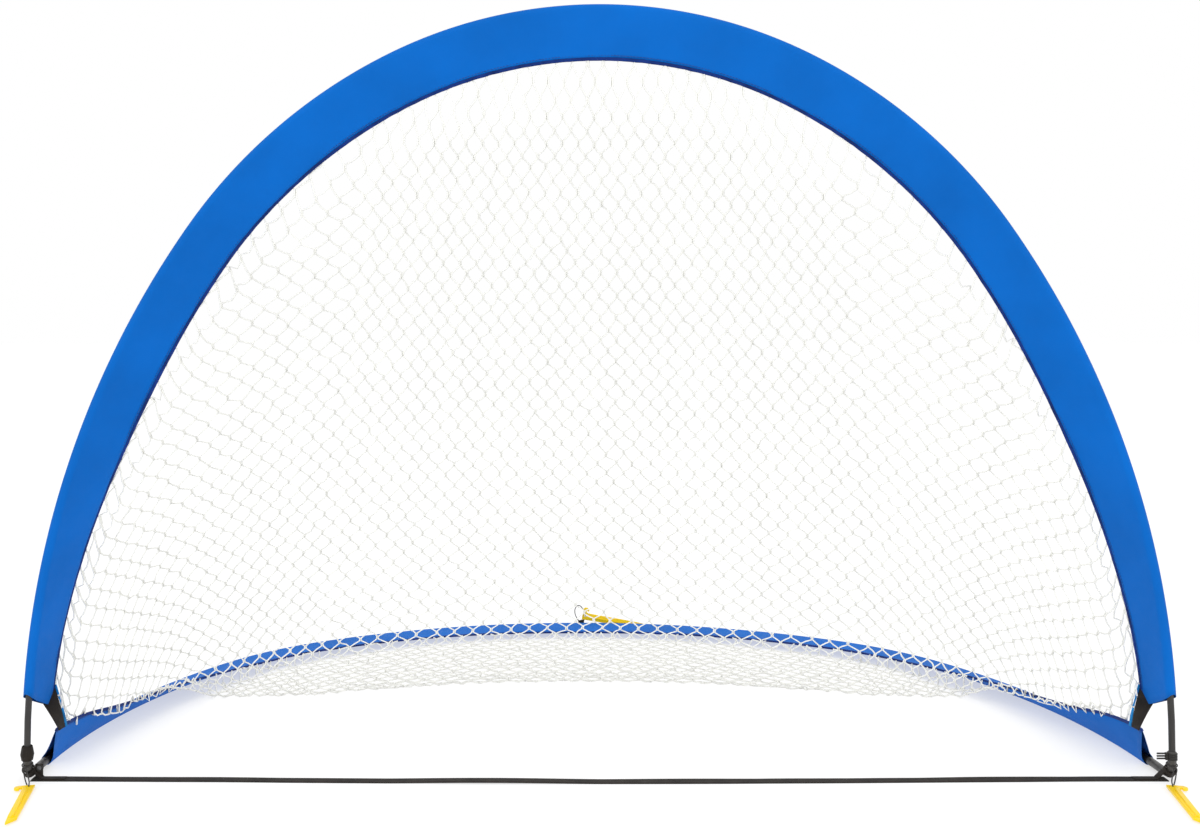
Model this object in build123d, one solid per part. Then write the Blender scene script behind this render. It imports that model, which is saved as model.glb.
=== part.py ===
from build123d import *
import math
import os

# A pop-up practice goal: an arch that stands, a hoop that lies on the ground behind it, and a net
# sewn between the two. Millimetres. +X is to the right, +Y to the back, +Z up. The origin is under
# the middle of the base strap, on the ground.

# --- Rods and elbows ---------------------------------------------------------------------------
ROD_RADIUS = 5.0
HALF_WIDTH = 902.0  # from the middle to the rods' centre lines at the feet
ARCH_Y = -10.0  # the arch stands in this plane
ARCH_TOP = 1217.0  # height of the front rod's centre line at the crown
REAR_END = 980.0  # y of the rear rod's centre line at the crown
GROUND_ROD_Z = 8.4  # height of the rear rod's centre line: its sleeve lies on the ground
ELBOW_RADIUS = 25.0
HOSE_RADIUS = 6.5
HOSE_BORE = 5.2
FRONT_FOOT = 48.0  # height of the hose's upper end, where the front rod starts to bend
REAR_FOOT = 62.0  # y of the hose's rear end, where the rear rod starts to bend
ROD_IN_HOSE = 9.0
FRONT_TURNS = (35.0, 64.0)  # headings where the leg arc and the shoulder arc end
FRONT_CROWN_RADIUS = 740.0
REAR_TURNS = (31.0, 56.0)
REAR_CROWN_RADIUS = 1040.0

# --- Sleeves -----------------------------------------------------------------------------------
TUBE_RADIUS = 8.4  # outside of the pocket that holds the rod
POCKET_RADIUS = 6.4
FLAP_REACH = 74.0  # from the rod's centre to the flap's inner edge
FLAP_THICKNESS = 2.4
PIPING = 3.2
SEAM_GAP = 0.2
FRONT_SLEEVE_END = 130.0  # height of the front sleeve's lower ends
REAR_SLEEVE_END = 66.0  # y of the rear sleeve's ends
TWIST_HEADING = 24.0  # the sleeves twist between their ends and this heading
TWIST_STEPS = 8
TWIST_EASE = 1.5
FRONT_TILT = (20.0, 72.0)  # tilt of the flap over the crown, and at the sleeve's ends
REAR_TILT = (12.0, 66.0)

# --- Net, and the webbing and tape at its corners ----------------------------------------------
NET_GAP = 3.0  # from the piping to the net
NET_STEPS = 24
NET_PANEL_STEPS = 3  # stations across each of the panels that the net is made of
NET_THICKNESS = 0.5
NET_FLOOR_Z = 2.0
NET_ON_GROUND = 290.0  # how far the net lies on the ground in front of the rear sleeve
NET_SAG = 50.0
NET_TAUT_SHARE = 0.12  # where it bends, from rear to front, at the corners, where it hangs free
GUSSET_WIDTH = 30.0
GUSSET_THICKNESS = 1.4
BINDING_WIDTH = 6.0
TAPE_GAP = 1.0

# --- Base strap --------------------------------------------------------------------------------
STRAP_WIDTH = 19.0
STRAP_THICKNESS = 1.5
STRAP_HALF_LENGTH = 898.0
LOOP_WIDTH = 12.0
LOOP_RADIUS = 8.2
LOOP_END_X = 845.0
EYELET_X = 886.5
EYELET_Z = 19.0
EYELET_RADIUS = 6.0
EYELET_HOLE = 3.3

# --- Cable ties --------------------------------------------------------------------------------
TIE_HEIGHTS = (36.5, 40.5, 44.5)
TIE_WIDTH = 2.6
TIE_TAIL = 13.0

# --- Pegs and their cords ----------------------------------------------------------------------
CORD_RADIUS = 1.0
PEG_LENGTH = 150.0
PEG_HEIGHT = 8.6  # over the ribs
PEG_WEB = 3.4
PEG_EYE = (7.0, 1.0)
PEG_EYE_RADIUS = 2.6
PEG_OUTLINE = (
    (0, -8),
    (0, 17),
    (4, 21),
    (10, 21),
    (14, 17),
    (14, 13),
    (11, 13),
    (9, 15),
    (8, 11),
    (13, 8),
    (120, 7.5),
    (PEG_LENGTH, 6),
    (134, -7),
)
PEG_HEAD = (-886.0, -40.0)  # where the left peg's head ends
PEG_TURN = 12.0  # the front pegs point this far inward
HITCH_ANGLE = 14.0  # place of the cord's hitch along the elbow's bend
KNOT_RADIUS = 2.6
REAR_PEG_ORIGIN = (7.0, 994.3, 30.0)
REAR_PEG_TILT = 9.7
TAB_LOW = (-3.0, 988.8, 2.0)
TAB_HIGH = (11.0, 990.6, 20.8)
TAB_FOLD = 8.0  # width of the tab's top, which is folded back
TAB_FOLD_REACH = 7.0


class Hoop:
    """A rod's centre line: leg, shoulder and crown arcs, then shoulder and leg again, all tangent.

    Headings run from 0 at the right foot, over 90 at the crown, to 180 at the left foot.
    """

    def __init__(self, plane, lift, rise, turns, crown_radius):
        self.plane = plane
        self.lift = Vector(lift)
        self.leg_turn, self.shoulder_turn = turns
        lean = [1 - math.cos(math.radians(turn)) for turn in turns]
        climb = [math.sin(math.radians(turn)) for turn in turns]
        width_left = HALF_WIDTH - crown_radius * (1 - lean[1])
        rise_left = rise - crown_radius * (1 - climb[1])
        lean_step = lean[1] - lean[0]
        climb_step = climb[1] - climb[0]
        scale = lean[0] * climb_step - lean_step * climb[0]
        self.leg = (width_left * climb_step - lean_step * rise_left) / scale
        self.shoulder = (lean[0] * rise_left - width_left * climb[0]) / scale
        self.crown = crown_radius
        self.rise = rise

    def arc_at(self, heading):
        """Centre and radius of the arc that holds a heading on the right half."""
        leg_centre = Vector(HALF_WIDTH - self.leg, 0)
        if heading <= self.leg_turn:
            return leg_centre, self.leg
        if heading >= self.shoulder_turn:
            return Vector(0, self.rise - self.crown), self.crown
        turn = math.radians(self.leg_turn)
        reach = self.leg - self.shoulder
        return leg_centre + Vector(math.cos(turn), math.sin(turn)) * reach, self.shoulder

    def point(self, heading):
        centre, radius = self.arc_at(min(heading, 180 - heading))
        side = 1 if heading <= 90 else -1
        turn = math.radians(heading)
        across = side * centre.X + radius * math.cos(turn)
        up = centre.Y + radius * math.sin(turn)
        return self.plane.from_local_coords(Vector(across, up, 0))

    def inward(self, heading):
        turn = math.radians(heading)
        return self.plane.x_dir * -math.cos(turn) + self.plane.y_dir * -math.sin(turn)

    def along(self, heading):
        turn = math.radians(heading)
        return self.plane.x_dir * -math.sin(turn) + self.plane.y_dir * math.cos(turn)

    def heading_at_rise(self, rise):
        return math.degrees(math.asin(rise / self.leg))

    def heading_step(self, distance):
        """The change of heading over a distance along the leg."""
        return math.degrees(distance / self.leg)

    def arcs(self, start, end):
        """Edges along the centre line between two headings."""
        corners = [self.leg_turn, self.shoulder_turn, 180 - self.shoulder_turn, 180 - self.leg_turn]
        stops = [start] + [corner for corner in corners if start < corner < end] + [end]
        return [
            ThreePointArc(self.point(a), self.point((a + b) / 2), self.point(b))
            for a, b in zip(stops, stops[1:])
        ]

    def flap_direction(self, heading, tilt):
        turn = math.radians(tilt)
        return self.inward(heading) * math.cos(turn) + self.lift * math.sin(turn)


FRONT = Hoop(
    Plane(origin=(0, ARCH_Y, FRONT_FOOT), x_dir=(1, 0, 0), z_dir=(0, -1, 0)),
    (0, 1, 0),
    ARCH_TOP - FRONT_FOOT,
    FRONT_TURNS,
    FRONT_CROWN_RADIUS,
)
REAR = Hoop(
    Plane(origin=(0, REAR_FOOT, GROUND_ROD_Z), x_dir=(1, 0, 0), z_dir=(0, 0, 1)),
    (0, 0, 1),
    REAR_END - REAR_FOOT,
    REAR_TURNS,
    REAR_CROWN_RADIUS,
)
FRONT_START = FRONT.heading_at_rise(FRONT_SLEEVE_END - FRONT_FOOT)
REAR_START = REAR.heading_at_rise(REAR_SLEEVE_END - REAR_FOOT)


def tilt_at(heading, start, tilts):
    """The flap's tilt: even over the crown, and turning further towards each end of the sleeve."""
    crown_tilt, end_tilt = tilts
    from_foot = min(heading, 180 - heading)
    if from_foot >= TWIST_HEADING:
        return crown_tilt
    share = (TWIST_HEADING - from_foot) / (TWIST_HEADING - start)
    return crown_tilt + (end_tilt - crown_tilt) * share**TWIST_EASE


def front_tilt(heading):
    return tilt_at(heading, FRONT_START, FRONT_TILT)


def rear_tilt(heading):
    return tilt_at(heading, REAR_START, REAR_TILT)


def section_plane(hoop, heading, tilt):
    """A plane across the rod, with its x along the sleeve's flap."""
    flap = hoop.flap_direction(heading, tilt)
    return Plane(origin=hoop.point(heading), x_dir=flap, z_dir=hoop.along(heading))


# --- Outlines across a sleeve: x runs along the flap from the rod's centre ------------------------
def ring_points(radius, first, last, count):
    turns = [first + (last - first) * i / (count - 1) for i in range(count)]
    return [(radius * math.cos(math.radians(t)), radius * math.sin(math.radians(t))) for t in turns]


def sleeve_outline():
    half = FLAP_THICKNESS / 2
    tube = ring_points(TUBE_RADIUS, 30, 330, 11)
    return [(FLAP_REACH, half), (2 * TUBE_RADIUS, half)] + tube + [
        (2 * TUBE_RADIUS, -half),
        (FLAP_REACH, -half),
    ]


def pocket_outline():
    return ring_points(POCKET_RADIUS, 0, 330, 12)


def piping_outline():
    near = FLAP_REACH + SEAM_GAP
    half = PIPING / 2
    return [(near, -half), (near + PIPING, -half), (near + PIPING, half), (near, half)]


def outline_wire(plane, outline):
    corners = [plane.from_local_coords(Vector(x, y, 0)) for x, y in outline]
    return Wire.make_polygon(corners, close=True)


def crown_band(hoop, tilt, outline):
    """The even part of a band: its outline carried along the hoop between the twisted ends."""
    start, end = TWIST_HEADING, 180 - TWIST_HEADING
    section = Face(outline_wire(section_plane(hoop, start, tilt(start)), outline))
    return sweep(section, path=Wire(hoop.arcs(start, end)))


def twisted_band(hoop, tilt, outline, start, left):
    """The twisted end of a band, from its free end up to the even part."""
    wires = []
    for i in range(TWIST_STEPS + 1):
        heading = start + (TWIST_HEADING - start) * i / TWIST_STEPS
        if left:
            heading = 180 - heading
        wires.append(outline_wire(section_plane(hoop, heading, tilt(heading)), outline))
    return Solid.make_loft(wires, ruled=True)


def rod(hoop, stub_ends):
    """A rod along a whole hoop, with a straight stub into the hose at each foot."""
    right_end, left_end = stub_ends
    edges = [Line(right_end, hoop.point(0))]
    edges += hoop.arcs(0, 180)
    edges += [Line(hoop.point(180), left_end)]
    path = Wire(edges)
    section = Plane(origin=path @ 0, z_dir=path % 0) * Circle(ROD_RADIUS)
    return sweep(section, path=path)


def front_rod():
    low = FRONT_FOOT - ROD_IN_HOSE
    return rod(FRONT, ((HALF_WIDTH, ARCH_Y, low), (-HALF_WIDTH, ARCH_Y, low)))


def rear_rod():
    near = REAR_FOOT - ROD_IN_HOSE
    return rod(REAR, ((HALF_WIDTH, near, GROUND_ROD_Z), (-HALF_WIDTH, near, GROUND_ROD_Z)))


def sleeve_crown(hoop, tilt):
    return crown_band(hoop, tilt, sleeve_outline()) - crown_band(hoop, tilt, pocket_outline())


def sleeve_end(hoop, tilt, start, left):
    outside = twisted_band(hoop, tilt, sleeve_outline(), start, left)
    return outside - twisted_band(hoop, tilt, pocket_outline(), start, left)


def piping(hoop, tilt, start):
    outline = piping_outline()
    right = twisted_band(hoop, tilt, outline, start, False)
    left = twisted_band(hoop, tilt, outline, start, True)
    return Compound([right, crown_band(hoop, tilt, outline).solid(), left])


# --- Elbows ------------------------------------------------------------------------------------
def bend_point(angle, radius):
    """A point at an angle round the right elbow's bend: 0 at its upper end, 90 at its rear end."""
    turn = math.radians(angle)
    back = ARCH_Y + ELBOW_RADIUS - radius * math.cos(turn)
    return Vector(HALF_WIDTH, back, GROUND_ROD_Z + ELBOW_RADIUS - radius * math.sin(turn))


def bend_plane(angle):
    """A plane across the hose at an angle round the bend."""
    turn = math.radians(angle)
    along = (0, math.sin(turn), -math.cos(turn))
    return Plane(origin=bend_point(angle, ELBOW_RADIUS), x_dir=(1, 0, 0), z_dir=along)


def elbow_hose():
    upper, middle, lower = (bend_point(angle, ELBOW_RADIUS) for angle in (0, 45, 90))
    path = Wire(
        [
            Line((HALF_WIDTH, ARCH_Y, FRONT_FOOT), upper),
            ThreePointArc(upper, middle, lower),
            Line(lower, (HALF_WIDTH, REAR_FOOT, GROUND_ROD_Z)),
        ]
    )
    section = Plane(origin=path @ 0, z_dir=path % 0) * (Circle(HOSE_RADIUS) - Circle(HOSE_BORE))
    return sweep(section, path=path)


def peg_hitch():
    """The cord's turn round the elbow, with its knot in front."""
    turn = bend_plane(HITCH_ANGLE) * Torus(HOSE_RADIUS + 0.3 + CORD_RADIUS, CORD_RADIUS)
    return turn + Pos(*knot_centre()) * Sphere(KNOT_RADIUS)


def knot_centre():
    return bend_point(HITCH_ANGLE, ELBOW_RADIUS + HOSE_RADIUS + 0.3 + KNOT_RADIUS)


def mirrored(shape):
    return mirror(shape, about=Plane.YZ)


# --- Base strap --------------------------------------------------------------------------------
def base_strap():
    grounded = (Align.CENTER, Align.CENTER, Align.MIN)
    return Box(2 * STRAP_HALF_LENGTH, STRAP_WIDTH, STRAP_THICKNESS, align=grounded)


def strap_loop():
    """The right end loop: a band round the elbow's bend, and its tail sewn down on the strap."""
    outer = Cylinder(LOOP_RADIUS + STRAP_THICKNESS, LOOP_WIDTH)
    band = bend_plane(45) * (outer - Cylinder(LOOP_RADIUS, LOOP_WIDTH))
    low = STRAP_THICKNESS + SEAM_GAP
    high = low + STRAP_THICKNESS
    inboard = HALF_WIDTH - LOOP_RADIUS - STRAP_THICKNESS / 2
    side = [
        (inboard, 15),
        (inboard - 12, high),
        (LOOP_END_X, high),
        (LOOP_END_X, low),
        (inboard - 11, low),
        (inboard, 13),
    ]
    corners = [(x, -LOOP_WIDTH / 2, z) for x, z in side]
    tail = extrude(Face(Wire.make_polygon(corners, close=True)), LOOP_WIDTH, dir=(0, 1, 0))
    return band + tail


def eyelet_axis(length, radius):
    """A cylinder through the left corner's eyelet."""
    return Pos(-EYELET_X, 0, EYELET_Z) * Rot(X=90) * Cylinder(radius, length)


def left_strap_loop():
    """The left end loop also has an ear for the eyelet."""
    ear = Pos(-EYELET_X - 0.5, 0, EYELET_Z - 4) * Box(12, STRAP_THICKNESS, 20)
    return mirrored(strap_loop()) + ear - eyelet_axis(10, EYELET_HOLE + 1)


def corner_eyelet():
    barrel = eyelet_axis(STRAP_THICKNESS + 2, EYELET_HOLE + 0.9)
    flange = eyelet_axis(1, EYELET_RADIUS)
    reach = STRAP_THICKNESS / 2 + 0.5 + 0.1
    flanges = Pos(0, reach, 0) * flange + Pos(0, -reach, 0) * flange
    return barrel + flanges - eyelet_axis(10, EYELET_HOLE)


# --- Corner wrap and cable ties ----------------------------------------------------------------
def corner_wrap():
    """A faceted wrap round the foot of the left leg, wider at its middle."""
    axis_x = -HALF_WIDTH
    levels = ((34, 8.6), (44, 10.4), (57, 8.0))
    wires = []
    for height, radius in levels:
        place = Plane(origin=(axis_x, ARCH_Y, height))
        wires.append(outline_wire(place, ring_points(radius, 22.5, 337.5, 8)))
    solid = Solid.make_loft(wires, ruled=True)
    return solid - Pos(axis_x, ARCH_Y, 45) * Cylinder(HOSE_RADIUS + 0.2, 40)


def cable_tie(height):
    """A tie round the right leg, with its head and its cut tail on the inner side."""
    radius = HOSE_RADIUS + 0.2
    band = Cylinder(radius + 1.2, TIE_WIDTH) - Cylinder(radius, TIE_WIDTH)
    head = Pos(-radius - 2.2, 0, 0) * Box(3.6, 5, TIE_WIDTH + 0.8)
    tail = Pos(-radius - 4 - TIE_TAIL / 2, 1, 0) * Box(TIE_TAIL, 1.2, TIE_WIDTH)
    return Pos(HALF_WIDTH, ARCH_Y, height) * (band + head + tail)


# --- Net, gussets and bindings: thin sheets through rows of points ---------------------------------
def thickened(rows, thickness):
    """The other face of a sheet: each point of the grid moved along the surface's normal."""
    far_rows = []
    for r, row in enumerate(rows):
        above = rows[max(r - 1, 0)]
        below = rows[min(r + 1, len(rows) - 1)]
        far_row = []
        for i, point in enumerate(row):
            across = row[min(i + 1, len(row) - 1)] - row[max(i - 1, 0)]
            normal = across.cross(below[i] - above[i]).normalized()
            far_row.append(point + normal * thickness)
        far_rows.append(far_row)
    return far_rows


def sheet_solid(rows, far_rows):
    """The closed solid between the two faces of a sheet, both given as grids of points.

    Both faces are cut along the same diagonals, so that they never cross each other.
    """
    triangles = []

    def quad(a, b, c, d, far=False):
        for half in ((a, b, c), (a, c, d)):
            triangles.append(half[::-1] if far else half)

    for r in range(len(rows) - 1):
        for i in range(len(rows[r]) - 1):
            ring = [(r, i), (r, i + 1), (r + 1, i + 1), (r + 1, i)]
            a, b, c, d = [rows[row][column] for row, column in ring]
            if (b - d).length < (a - c).length:
                ring = ring[1:] + ring[:1]
            quad(*[rows[row][column] for row, column in ring])
            quad(*[far_rows[row][column] for row, column in ring], far=True)

    near_rim = rim(rows)
    far_rim = rim(far_rows)
    for i in range(len(near_rim)):
        j = (i + 1) % len(near_rim)
        quad(near_rim[j], near_rim[i], far_rim[i], far_rim[j])
    return Solid(Shell([Face(Wire.make_polygon(t, close=True)) for t in triangles]))


def rim(rows):
    """The outer corners of a grid, once round."""
    right = [row[-1] for row in rows[1:-1]]
    left = [row[0] for row in rows[1:-1]]
    return rows[0] + right + rows[-1][::-1] + left[::-1]


def edge_point(hoop, tilt, heading, reach):
    """A point beyond the flap's inner edge, in line with the flap."""
    return hoop.point(heading) + hoop.flap_direction(heading, tilt(heading)) * reach


def front_edge(heading):
    return edge_point(FRONT, front_tilt, heading, FLAP_REACH + SEAM_GAP + PIPING + NET_GAP)


def rear_edge(heading):
    return edge_point(REAR, rear_tilt, heading, FLAP_REACH + SEAM_GAP + PIPING + NET_GAP)


def corner_edges(first, last):
    """Front and rear edge points at two distances from the sleeves' ends, at the right corner."""
    front = [front_edge(FRONT_START + FRONT.heading_step(d)) for d in (first, last)]
    rear = [rear_edge(REAR_START + REAR.heading_step(d)) for d in (first, last)]
    return [front, rear]


def corner_band(first, last):
    edges = corner_edges(first, last)
    return sheet_solid(edges, thickened(edges, GUSSET_THICKNESS))


def gusset():
    return corner_band(0, GUSSET_WIDTH)


def binding():
    first = GUSSET_WIDTH + TAPE_GAP
    return corner_band(first, first + BINDING_WIDTH)


def net():
    """The net: from the arch's inner edge down to the ground, then back to the rear sleeve."""
    corner = GUSSET_WIDTH + BINDING_WIDTH + 2 * TAPE_GAP
    front_first = FRONT_START + FRONT.heading_step(corner)
    rear_first = REAR_START + REAR.heading_step(corner)
    top, middle, floor, back = [], [], [], []
    for i in range(NET_STEPS + 1):
        share = 1 - i / NET_STEPS
        lying = math.sin(math.pi * share)
        settled = min(1, 2 * lying)
        front = front_edge(front_first + (180 - 2 * front_first) * share)
        rear = rear_edge(rear_first + (180 - 2 * rear_first) * share)
        taut = rear + (front - rear) * NET_TAUT_SHARE
        on_ground = Vector(rear.X, rear.Y - NET_ON_GROUND * lying, NET_FLOOR_Z)
        low = taut + (on_ground - taut) * settled
        top.append(front)
        middle.append((front + low) * 0.5 - Vector(0, 1, 1) * NET_SAG * lying)
        floor.append(low)
        back.append(rear)
    near = [top, middle, floor, back]
    far = thickened(near, NET_THICKNESS)
    panels = []
    for r in range(len(near) - 1):
        for first in range(0, NET_STEPS, NET_PANEL_STEPS):
            cut = slice(first, first + NET_PANEL_STEPS + 1)
            near_cut = [row[cut] for row in near[r:r + 2]]
            far_cut = [row[cut] for row in far[r:r + 2]]
            panels.append(sheet_solid(near_cut, far_cut))
    return Compound(panels)


# --- Pegs --------------------------------------------------------------------------------------
def peg():
    """A peg in its own plane: x from the head to the tip, y towards the hook, z through the web."""
    web = extrude(Face(Wire.make_polygon(PEG_OUTLINE, close=True)), PEG_WEB / 2, both=True)
    rib = Pos(PEG_LENGTH / 2, 0, 0) * Box(PEG_LENGTH - 44, 3, PEG_HEIGHT)
    rail = Pos(PEG_LENGTH / 2 - 6, 0, 0) * Box(PEG_LENGTH - 30, 12.5, PEG_WEB + 1.6)
    eye = Pos(*PEG_EYE) * Cylinder(PEG_EYE_RADIUS, 2 * PEG_HEIGHT)
    return web + rib + rail - eye


def left_peg():
    turn = math.radians(PEG_TURN)
    toward_tip = (math.sin(turn), -math.cos(turn), 0)
    place = Plane(origin=(*PEG_HEAD, PEG_HEIGHT / 2), x_dir=toward_tip, z_dir=(0, 0, -1))
    return place * peg()


def rear_peg():
    """The rear peg stands on its edge behind the rear sleeve, its head on the loop tab."""
    tilt = math.radians(REAR_PEG_TILT)
    toward_tip = (math.cos(tilt), 0, -math.sin(tilt))
    return Plane(origin=REAR_PEG_ORIGIN, x_dir=toward_tip, z_dir=(0, -1, 0)) * peg()


def loop_tab():
    """A webbing tab behind the rear sleeve, with its top folded back."""
    width, depth, height = [b - a for a, b in zip(TAB_LOW, TAB_HIGH)]
    upright = Pos(*TAB_LOW) * Box(width, depth, height, align=(Align.MIN, Align.MIN, Align.MIN))
    corner = (TAB_HIGH[0], TAB_LOW[1], TAB_HIGH[2])
    fold = Box(TAB_FOLD, TAB_FOLD_REACH, STRAP_THICKNESS, align=(Align.MAX, Align.MIN, Align.MAX))
    return upright + Pos(*corner) * fold


def front_cord_route():
    """The left peg's cord: from the knot over the peg's head, down its eye, and back under it."""
    knot = knot_centre()
    knot_x = -HALF_WIDTH
    return [
        (knot_x + 2.4, knot.Y - 2.2, knot.Z - 1.0),
        (-893.5, -27.5, 14.5),
        (-887.5, -37.0, 9.6),
        (-884.5, -46.8, 7.6),
        (-884.6, -46.4, 1.2),
        (-889.6, -37.0, 1.2),
        (-898.0, -28.0, 8.5),
        (knot_x - 2.0, knot.Y - 2.6, knot.Z - 1.4),
    ]


def rear_cord_route():
    """The rear peg's cord: up from its tab in an arch, through the peg's eye, and back down."""
    return [
        (0.5, 992.0, 16.0),
        (-6.5, 992.0, 25.0),
        (-11.0, 992.0, 36.0),
        (-11.0, 991.8, 48.0),
        (-4.0, 991.4, 57.0),
        (5.0, 991.0, 53.0),
        (11.0, 990.4, 42.0),
        (14.0, 989.9, 31.5),
        (14.2, 999.0, 28.5),
        (11.0, 998.5, 18.0),
        (7.0, 992.2, 9.5),
    ]


def cord_tube(name, route):
    """A cord as straight runs joined by the largest arcs that the runs allow."""
    points = [Vector(*p) for p in route]
    runs = [(b - a).length for a, b in zip(points, points[1:])]
    radii = []
    for i in range(1, len(points) - 1):
        turn = (points[i] - points[i - 1]).get_angle(points[i + 1] - points[i])
        shorter = min(runs[i - 1], runs[i])
        radii.append(0.45 * shorter / math.tan(math.radians(turn) / 2))
    path = FilletPolyline(*points, radius=radii)
    tube = sweep(Plane(origin=path @ 0, z_dir=path % 0) * Circle(CORD_RADIUS), path=path)
    expected = math.pi * CORD_RADIUS**2 * path.length
    print(f"{name}: length {path.length:.1f}, volume share {tube.volume / expected:.3f}")
    print("  radii", [round(r, 1) for r in radii])
    return tube


def sleeve_nodes():
    return {
        "front_sleeve": sleeve_crown(FRONT, front_tilt),
        "front_sleeve_leg_right": sleeve_end(FRONT, front_tilt, FRONT_START, False),
        "front_sleeve_leg_left": sleeve_end(FRONT, front_tilt, FRONT_START, True),
        "front_piping": piping(FRONT, front_tilt, FRONT_START),
        "rear_sleeve": sleeve_crown(REAR, rear_tilt),
        "rear_sleeve_end_right": sleeve_end(REAR, rear_tilt, REAR_START, False),
        "rear_sleeve_end_left": sleeve_end(REAR, rear_tilt, REAR_START, True),
        "rear_piping": piping(REAR, rear_tilt, REAR_START),
    }


def corner_nodes():
    hose = elbow_hose()
    hitch = peg_hitch()
    right_gusset = gusset()
    right_binding = binding()
    return {
        "elbow_hose_right": hose,
        "elbow_hose_left": mirrored(hose),
        "peg_hitch_right": hitch,
        "peg_hitch_left": mirrored(hitch),
        "gusset_webbing_right": right_gusset,
        "gusset_webbing_left": mirrored(right_gusset),
        "net_binding_right": right_binding,
        "net_binding_left": mirrored(right_binding),
        "base_strap": base_strap(),
        "strap_loop_right": strap_loop(),
        "strap_loop_left": left_strap_loop(),
        "corner_eyelet_left": corner_eyelet(),
        "corner_wrap_left": corner_wrap(),
        "cable_ties_right": Compound([cable_tie(height).solid() for height in TIE_HEIGHTS]),
    }


def peg_nodes():
    front_peg = left_peg()
    front_cord = cord_tube("front cord", front_cord_route())
    return {
        "peg_left": front_peg,
        "peg_right": mirrored(front_peg),
        "peg_rear": rear_peg(),
        "peg_cord_left": front_cord,
        "peg_cord_right": mirrored(front_cord),
        "peg_cord_rear": cord_tube("rear cord", rear_cord_route()),
        "rear_loop_tab": loop_tab(),
    }


def main():
    os.makedirs("parts", exist_ok=True)
    nodes = {"front_rod": front_rod(), "rear_rod": rear_rod(), "net": net()}
    nodes.update(sleeve_nodes())
    nodes.update(corner_nodes())
    nodes.update(peg_nodes())
    for name, shape in nodes.items():
        export_step(shape, f"parts/{name}.step")
    print(len(nodes), "nodes; legs", round(FRONT.leg), round(REAR.leg))


main()
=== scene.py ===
"""The looks of the pop-up goal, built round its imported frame.

Metres, in the frame's own axes: +X to the right along the mouth, +Y to the back, +Z up.
"""
import math

import bmesh
import bpy
import numpy as np
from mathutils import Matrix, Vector, noise


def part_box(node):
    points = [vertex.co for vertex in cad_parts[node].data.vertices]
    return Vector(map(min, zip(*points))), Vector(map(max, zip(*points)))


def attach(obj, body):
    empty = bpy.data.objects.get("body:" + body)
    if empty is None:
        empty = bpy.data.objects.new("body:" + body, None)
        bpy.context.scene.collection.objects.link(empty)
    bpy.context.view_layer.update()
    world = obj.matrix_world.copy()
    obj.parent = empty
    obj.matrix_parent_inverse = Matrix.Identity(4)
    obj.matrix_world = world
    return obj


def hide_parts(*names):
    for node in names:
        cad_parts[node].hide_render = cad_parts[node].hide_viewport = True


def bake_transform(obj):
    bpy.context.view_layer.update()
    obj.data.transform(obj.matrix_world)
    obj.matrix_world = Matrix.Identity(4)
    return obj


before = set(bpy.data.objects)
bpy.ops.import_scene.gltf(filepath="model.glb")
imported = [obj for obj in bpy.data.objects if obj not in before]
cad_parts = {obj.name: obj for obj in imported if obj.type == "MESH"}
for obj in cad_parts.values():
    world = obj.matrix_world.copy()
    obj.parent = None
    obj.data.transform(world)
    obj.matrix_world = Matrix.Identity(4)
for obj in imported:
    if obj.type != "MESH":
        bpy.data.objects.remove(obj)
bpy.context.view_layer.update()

GROUND = "ground_frame"
ARCH = "front_arch"
HINGE_Y = -0.010
HINGE_Z = 0.040
ARCH_Y = -0.010

# The camera is level, and its picture is shifted where a tilt would lean the arch
CAMERA_AT = (-0.094, ARCH_Y - 1.954, 0.712)
CAMERA_LENS = 37.2
CAMERA_SENSOR = 36
CAMERA_SHIFT = (0.05, -0.07)

# The two hoops, as the rods are bent
HALF_WIDTH = 0.902
ARCH_TOP = 1.217
REAR_END = 0.980
GROUND_ROD_Z = 0.0084
FRONT_FOOT = 0.048
REAR_FOOT = 0.062
FRONT_TURNS = (35.0, 64.0)
FRONT_CROWN_RADIUS = 0.740
REAR_TURNS = (31.0, 56.0)
REAR_CROWN_RADIUS = 1.040
ELBOW_RADIUS = 0.025
HOSE_RADIUS = 0.0065

# The sleeves: a taut loop of cloth round the rod, closed by a seam at its inner edge
SLEEVE_ROUND = 0.0084
SLEEVE_REACH = 0.0755
SLEEVE_EDGE = 0.0011
CLOTH = 0.0005
PIPING_WIDTH = 0.0052
PIPING_THICKNESS = 0.0036
PIPING_OVERLAP = 0.0014
PIPING_CORNER = 0.0009
PIPING_WAVER = 0.0005
SEAM_FROM_EDGE = 0.0045
FRONT_SLEEVE_END = 0.130
REAR_SLEEVE_END = 0.066
TILT_SPREAD = 4  # degrees each way over which the tilt below is smoothed
# Heading on the hoop and tilt of the cloth there, in degrees, from a foot to the crown
FRONT_TILT = ((3, 85), (8, 76), (12, 68), (24, 38), (38, 30), (57, 15), (90, 6))
REAR_TILT = ((0, 62), (4, 48), (9, 33), (16, 26), (31, 10), (90, 3))
# Place across the sleeve, and how far its ends are cut back there (below 0: they reach on)
FRONT_CUT = (
    (-0.0084, 0.010), (-0.004, 0.004), (0.012, -0.005), (0.05, -0.022), (0.0755, -0.030),
)
REAR_CUT = ((-0.0084, 0.0), (0.0084, 0.0), (0.0755, -0.058))
SLACK_FROM_ROD = 0.020
SLACK_FROM_SEAM = 0.004
SLACK_AT_SEAM = 0.25
WAVE_DEPTH = 0.0024
PUCKER_DEPTH = 0.0012
PUCKERS_FROM = 0.035
PUCKERS_OVER = 0.040
JOIN_DEPTH = 0.0011
JOIN_WIDTH = 0.006
JOIN_SLANT = 0.25

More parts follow.
